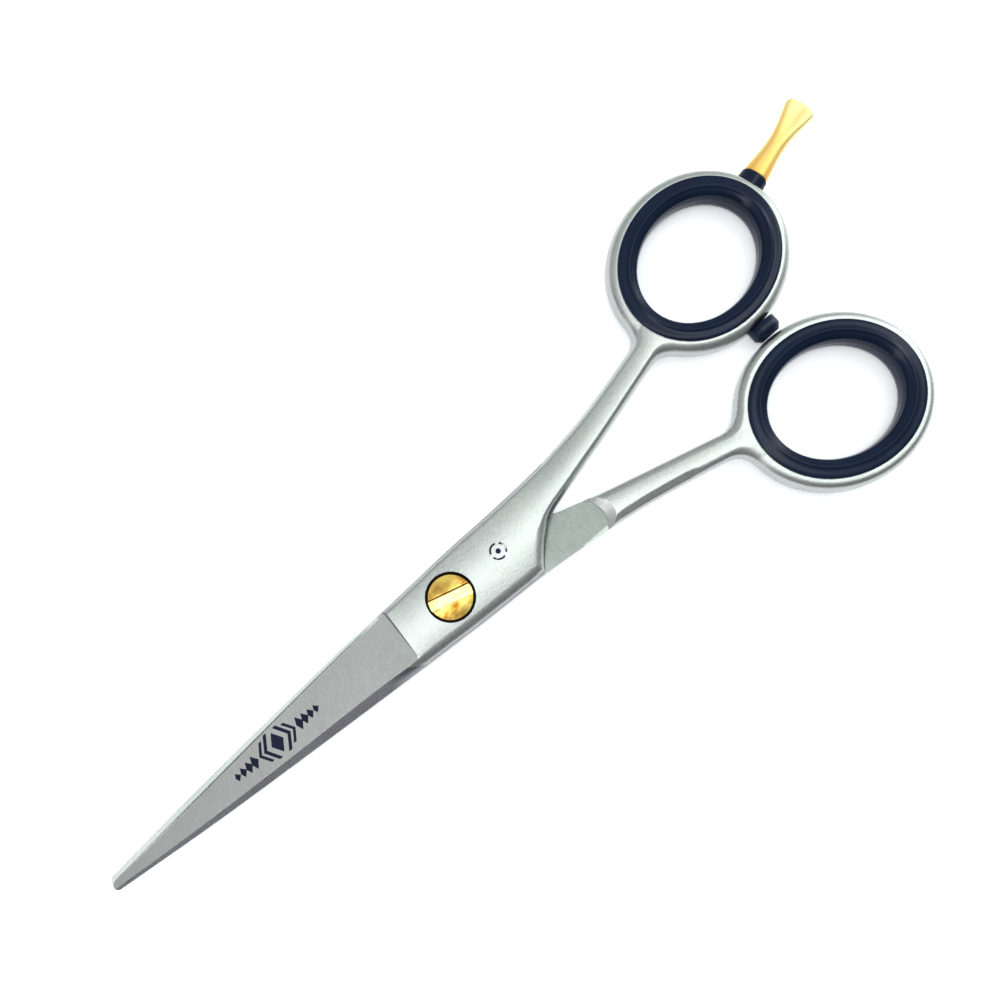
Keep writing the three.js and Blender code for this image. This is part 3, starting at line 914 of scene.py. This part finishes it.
def stop_bumper():
    """A button with a bevelled face, on a stem pressed into the ring."""
    low, high = box_mm("stop_bumper")
    r = (high[0] - low[0]) / 2
    stem = 0.85
    foot, face = -1.22, high[1]
    bevel = 0.7
    outline = [(0, low[1]), (stem, low[1]), (stem, foot), (r - 0.12, foot), (r - 0.03, foot + 0.04),
               (r, foot + 0.12), (r, face - bevel - 0.06), (r - 0.03, face - bevel + 0.02),
               (r - bevel + 0.06, face - 0.03), (r - bevel - 0.02, face), (0, face)]
    return turned("stop_bumper_moulded", outline, navy_plastic, 72, "Y", (low[0] + high[0]) / 2)


def head_washer():
    """A cup in the finger half's seat: a floor under the screw's head and a thin wall around it."""
    bore, wall_in, wall_out = 1.87, 3.15, 3.32
    outline = [(bore, 1.12), (3.30, 1.12), (wall_out, 1.16), (wall_out, 2.33), (3.28, 2.38), (3.19, 2.38),
               (wall_in, 2.33), (wall_in, 1.4), (bore, 1.4)]
    return turned("head_washer_moulded", outline, black_nylon, 96)


# ---------------------------------------------------------------- etched marks

INK = 0.004  # how far the ink stands above the steel
INK_ROOT = 0.02  # how far it reaches below


def face_patch(name, shapes, height):
    """Thin ink shapes lying on the finger half's outer face; each shape is an outline of (x, y) points."""
    verts, faces = [], []
    for outline in shapes:
        n, base = len(outline), len(verts)
        area = sum(a[0] * b[1] - b[0] * a[1] for a, b in zip(outline, outline[1:] + outline[:1]))
        if area < 0:
            outline = outline[::-1]
        for lift in (-INK_ROOT, INK):
            verts += [(x, y, height(x, y) + lift) for x, y in outline]
        faces.append(list(range(base + n, base + 2 * n)))
        faces.append(list(range(base + n - 1, base - 1, -1)))
        faces += [(base + k, base + (k + 1) % n, base + n + (k + 1) % n, base + n + k) for k in range(n)]
    piece = mesh_piece(name, verts, faces, ink)
    place(piece)
    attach(piece, "finger_half")


def body_height(x, y):
    return BODY_TOP - float(crowned(FINGER, np.float64(x), np.float64(y), 0.0))


def flat_height(x, y):
    return float(face_height(np.float64(x), np.float64(y)))


def lozenge(cx, cy, half_length, half_height, lean=0.0):
    return [(cx - half_length, cy), (cx + lean, cy - half_height), (cx + half_length, cy),
            (cx + lean, cy + half_height)]


def ring_arc(cx, cy, inner, outer, start, end, steps=10):
    angles = [math.radians(start + (end - start) * k / steps) for k in range(steps + 1)]
    outside = [(cx + outer * math.cos(a), cy + outer * math.sin(a)) for a in angles]
    inside = [(cx + inner * math.cos(a), cy + inner * math.sin(a)) for a in reversed(angles)]
    return outside + inside


def chevron(cx, cy, point, half_height, thick):
    """An angle bracket whose outer tip is `point` ahead of its ends."""
    back = math.copysign(thick, point)
    return [(cx + point, cy), (cx, cy + half_height), (cx - back, cy + half_height), (cx + point - back, cy),
            (cx - back, cy - half_height), (cx, cy - half_height)]


def blade_mark():
    """A generic row: a lozenge between angle brackets, then lozenges that shrink away on both sides."""
    cx, cy, lean = 28.8, -0.3, 0.02
    shapes = [lozenge(cx, cy, 0.95, 1.5)]
    for side in (-1, 1):
        shapes.append(chevron(cx + side * 1.0, cy, side * 1.15, 1.9, 0.5))
        shapes.append(chevron(cx + side * 2.0, cy, side * 0.95, 1.5, 0.42))
        for k in range(4):
            x = cx + side * (3.7 + 0.92 * k)
            shapes.append(lozenge(x, cy + lean * (x - cx), 0.54 - 0.04 * k, 1.0 - 0.14 * k, 0.15))
    face_patch("blade_etching", shapes, flat_height)


def body_mark():
    """A generic dot in a broken circle, behind the screw."""
    cx, cy, dot = -8.7, -0.55, 0.36
    shapes = [ring_arc(cx, cy, 0.95, 1.2, 120 * k + 14, 120 * k + 106) for k in range(3)]
    angles = [TAU * k / 16 for k in range(16)]
    shapes.append([(cx + dot * math.cos(a), cy + dot * math.sin(a)) for a in angles])
    face_patch("body_stamp", shapes, body_height)


# ---------------------------------------------------------------- building

def assign(piece, body, node):
    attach(piece, body)
    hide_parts(node)


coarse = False
ring_steps = 96 if coarse else 200
assign(forged_half("finger_blade", FINGER, coarse), "finger_half", "finger_blade")
assign(forged_half("thumb_blade", THUMB, coarse), "thumb_half", "thumb_blade")
assign(tension_screw(coarse), "screw", "tension_screw")
assign(head_washer(), "finger_half", "head_washer")
assign(ring_insert("finger_ring_liner", FINGER, ring_steps), "finger_half", "finger_ring_insert")
assign(ring_insert("thumb_ring_liner", THUMB, ring_steps), "thumb_half", "thumb_ring_insert")
assign(stop_bumper(), "finger_half", "stop_bumper")
assign(finger_rest(coarse), "finger_half", "finger_rest")
assign(rest_collar(coarse), "finger_half", "finger_rest_collar")
blade_mark()
body_mark()


# ---------------------------------------------------------------- stage, light and camera

def add_floor():
    mesh = bpy.data.meshes.new("floor")
    r = 3.0  # metres
    z = -0.03 * MM  # just under the screw's tail, so that the two surfaces don't coincide
    mesh.from_pydata([(-r, -r, z), (r, -r, z), (r, r, z), (-r, r, z)], [], [(0, 1, 2, 3)])
    floor = bpy.data.objects.new("floor", mesh)
    bpy.context.scene.collection.objects.link(floor)
    made, nodes, _ = new_material("floor_white")
    shader = nodes["Principled BSDF"]
    shader.inputs["Base Color"].default_value = (0.92, 0.94, 0.95, 1)
    shader.inputs["Roughness"].default_value = 0.9
    shader.inputs["Specular IOR Level"].default_value = 0.1
    shader.inputs["Emission Color"].default_value = (0.97, 0.98, 1.0, 1)
    shader.inputs["Emission Strength"].default_value = 0.42
    mesh.materials.append(made)


# The sky's brightness, over SKY_SCALE, at each lean from overhead towards +Y, in degrees.
SKY_SCALE = 2.8
SKY = [(-90, 0.24), (-50, 0.26), (-30, 0.27), (-18, 0.29), (-9, 0.40), (-4, 0.80), (0, 1.55), (4, 1.0),
       (9, 0.36), (20, 0.24), (34, 0.17), (60, 0.12), (85, 0.08)]

# The sky's tint, by how far a direction leans towards +X.
SKY_TINT = [(0.0, (0.955, 1.0, 0.975)), (0.25, (1.0, 0.985, 0.995)), (0.45, (1.06, 1.03, 1.05)),
            (0.6, grey(0.8)), (0.85, grey(0.55))]


def add_world():
    """A long soft light overhead along X, in a room that darkens towards +Y and +X."""
    world = bpy.data.worlds.new("studio")
    bpy.context.scene.world = world
    world.use_nodes = True
    nodes, links = world.node_tree.nodes, world.node_tree.links
    coords = nodes.new("ShaderNodeTexCoord").outputs["Generated"]

    def towards(direction):
        node = nodes.new("ShaderNodeVectorMath")
        node.operation = "DOT_PRODUCT"
        node.inputs[1].default_value = Vector(direction).normalized()
        links.new(coords, node.inputs[0])
        return node.outputs["Value"]

    half_up = nodes.new("ShaderNodeMath")
    half_up.operation = "MULTIPLY_ADD"
    half_up.inputs[1].default_value = 0.5
    half_up.inputs[2].default_value = 0.5
    links.new(towards((0, 1, 0)), half_up.inputs[0])

    def tilt(degrees):
        return 0.5 + 0.5 * math.sin(math.radians(degrees))

    band = ramp(nodes, links, half_up.outputs["Value"], [(tilt(a), grey(v)) for a, v in SKY])
    tint = ramp(nodes, links, towards((1, 0, 0)), SKY_TINT)
    tinted = blend_colours(nodes, links, "MULTIPLY", 1.0, band.outputs["Color"], tint.outputs["Color"])
    links.new(tinted, nodes["Background"].inputs["Color"])
    nodes["Background"].inputs["Strength"].default_value = SKY_SCALE


# The camera of the reference view: its place in metres and its three axes.
CAMERA_PLACE = (0.0074154, 0.0104264, 0.1462672)
CAMERA_RIGHT = (-0.75717, 0.65215, 0.03739)
CAMERA_UP = (-0.63704, -0.74986, 0.17857)
CAMERA_BACK = (0.14450, 0.11139, 0.98322)


def add_camera():
    data = bpy.data.cameras.new("camera")
    data.lens = 38.86
    data.sensor_width = 36
    data.clip_start = 0.005
    camera = bpy.data.objects.new("camera", data)
    turn = Matrix((CAMERA_RIGHT, CAMERA_UP, CAMERA_BACK)).transposed().to_4x4()
    camera.matrix_world = Matrix.Translation(CAMERA_PLACE) @ turn
    bpy.context.scene.collection.objects.link(camera)
    bpy.context.scene.camera = camera


add_floor()
add_world()
add_camera()
bpy.context.scene.view_settings.view_transform = "Standard"
bpy.context.scene.view_settings.gamma = 0.88
